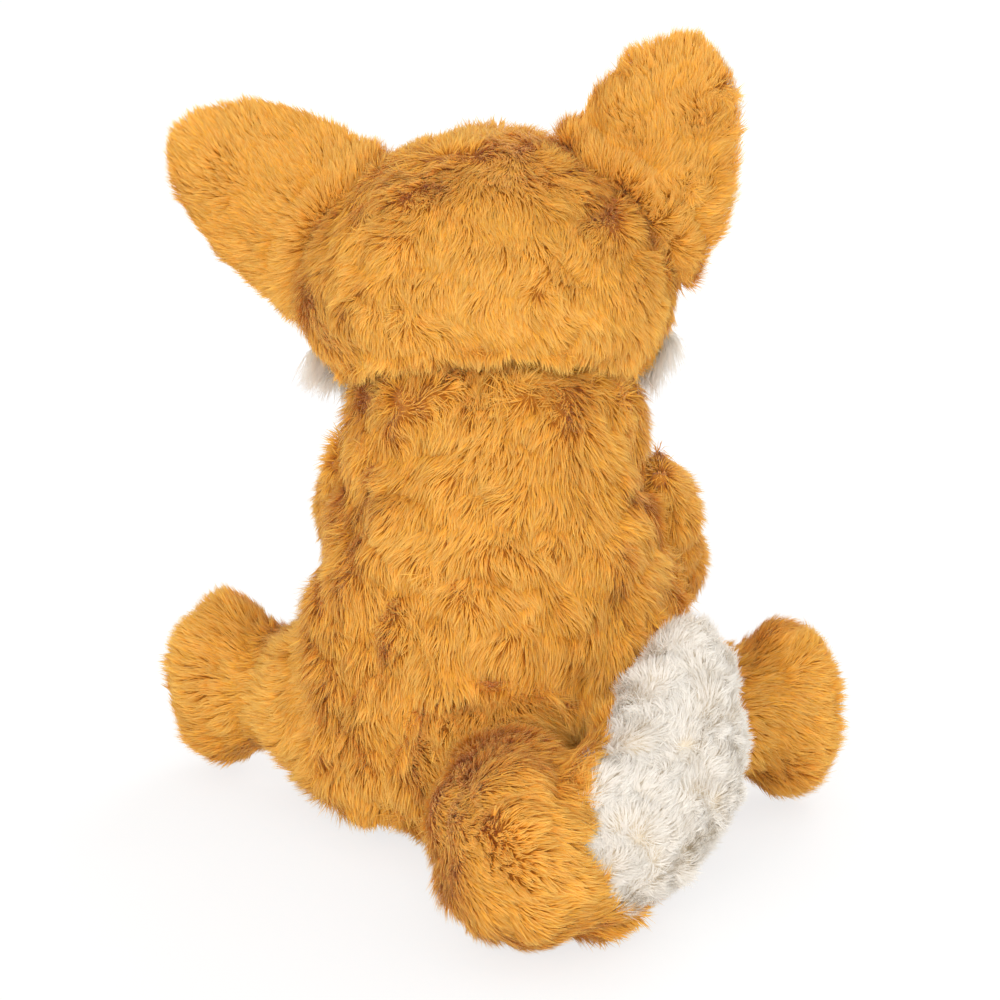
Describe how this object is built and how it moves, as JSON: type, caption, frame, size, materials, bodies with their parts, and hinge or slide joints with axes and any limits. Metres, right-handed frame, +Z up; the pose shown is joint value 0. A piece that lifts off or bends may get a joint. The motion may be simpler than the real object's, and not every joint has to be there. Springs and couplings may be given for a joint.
{
  "type": "plush fox",
  "caption": "Seated plush fox with long golden fur, a head that nods and turns, folding ears, swinging arms, lifting legs and a curled white-tipped tail.",
  "frame": {"origin": "middle of the flat seat, on the surface that the toy sits on", "axes": "+Z up, the fox faces -Y, +X is its own left"},
  "size_m": [0.276, 0.2704, 0.3088],
  "materials": {
    "orange_plush": "long golden orange pile in soft swirled locks",
    "white_plush": "long warm white pile",
    "cream_plush": "short cream pile",
    "stuffing": "loose polyester fibre",
    "pouch_cloth": "plain woven cotton filled with plastic pellets",
    "black_plastic": "polished",
    "washer_plastic": "plain moulded"
  },
  "bodies": {
    "torso": {"torso_back_left": "orange_plush", "torso_back_right": "orange_plush", "belly_panel": "cream_plush", "seat_panel": "orange_plush", "torso_stuffing": "stuffing", "pellet_pouch": "pouch_cloth"},
    "neck": {"neck_wad": "stuffing"},
    "head": {"head_back_left": "orange_plush", "head_back_right": "orange_plush", "face_panel": "orange_plush", "cheek_left": "white_plush", "cheek_right": "white_plush", "chin_panel": "white_plush", "head_stuffing": "stuffing", "eye_left": "black_plastic", "eye_left_washer": "washer_plastic", "eye_right": "black_plastic", "eye_right_washer": "washer_plastic", "nose": "black_plastic", "nose_washer": "washer_plastic"},
    "ear_left": {"ear_left_back": "orange_plush", "ear_left_lining": "cream_plush"},
    "ear_right": {"ear_right_back": "orange_plush", "ear_right_lining": "cream_plush"},
    "arm_left": {"arm_left_outer": "orange_plush", "arm_left_inner": "orange_plush", "arm_left_stuffing": "stuffing"},
    "arm_right": {"arm_right_outer": "orange_plush", "arm_right_inner": "orange_plush", "arm_right_stuffing": "stuffing"},
    "leg_left": {"leg_left_upper": "orange_plush", "leg_left_lower": "orange_plush", "leg_left_sole": "cream_plush", "leg_left_stuffing": "stuffing"},
    "leg_right": {"leg_right_upper": "orange_plush", "leg_right_lower": "orange_plush", "leg_right_sole": "cream_plush", "leg_right_stuffing": "stuffing"},
    "tail": {"tail_upper": "orange_plush", "tail_lower": "orange_plush", "tail_tip": "white_plush", "tail_stuffing": "stuffing"}
  },
  "joints": [
    {"name": "head_nod", "type": "hinge", "parent": "torso", "child": "neck", "pos_m": [0, -0.005, 0.154], "axis": [1, 0, 0], "range_deg": [-12, 12], "stiffness_Nm_per_rad": 1.5},
    {"name": "head_turn", "type": "hinge", "parent": "neck", "child": "head", "pos_m": [0, -0.005, 0.154], "axis": [0.0785, 0, 0.9969], "range_deg": [-25, 25], "stiffness_Nm_per_rad": 0.5},
    {"name": "ear_left_fold", "type": "hinge", "parent": "head", "child": "ear_left", "pos_m": [0.06924, -0.015, 0.22985], "axis": [-0.4042, 0, 0.9147], "range_deg": [-20, 20], "stiffness_Nm_per_rad": 0.1},
    {"name": "ear_right_fold", "type": "hinge", "parent": "head", "child": "ear_right", "pos_m": [-0.05339, -0.015, 0.24338], "axis": [0.6249, 0, 0.7807], "range_deg": [-20, 20], "stiffness_Nm_per_rad": 0.1},
    {"name": "arm_left_swing", "type": "hinge", "parent": "torso", "child": "arm_left", "pos_m": [0, -0.005, 0.154], "axis": [-1, 0, 0], "range_deg": [0, 38]},
    {"name": "arm_right_swing", "type": "hinge", "parent": "torso", "child": "arm_right", "pos_m": [0, -0.005, 0.154], "axis": [-1, 0, 0], "range_deg": [0, 38]},
    {"name": "leg_left_lift", "type": "hinge", "parent": "torso", "child": "leg_left", "pos_m": [0.057, 0.002, 0.042], "axis": [-1, 0, 0], "range_deg": [0, 60]},
    {"name": "leg_right_lift", "type": "hinge", "parent": "torso", "child": "leg_right", "pos_m": [-0.057, 0.002, 0.042], "axis": [-1, 0, 0], "range_deg": [0, 60]},
    {"name": "tail_swing", "type": "hinge", "parent": "torso", "child": "tail", "pos_m": [-0.009, 0.054, 0.045], "axis": [0, 0, -1], "range_deg": [0, 25]}
  ]
}
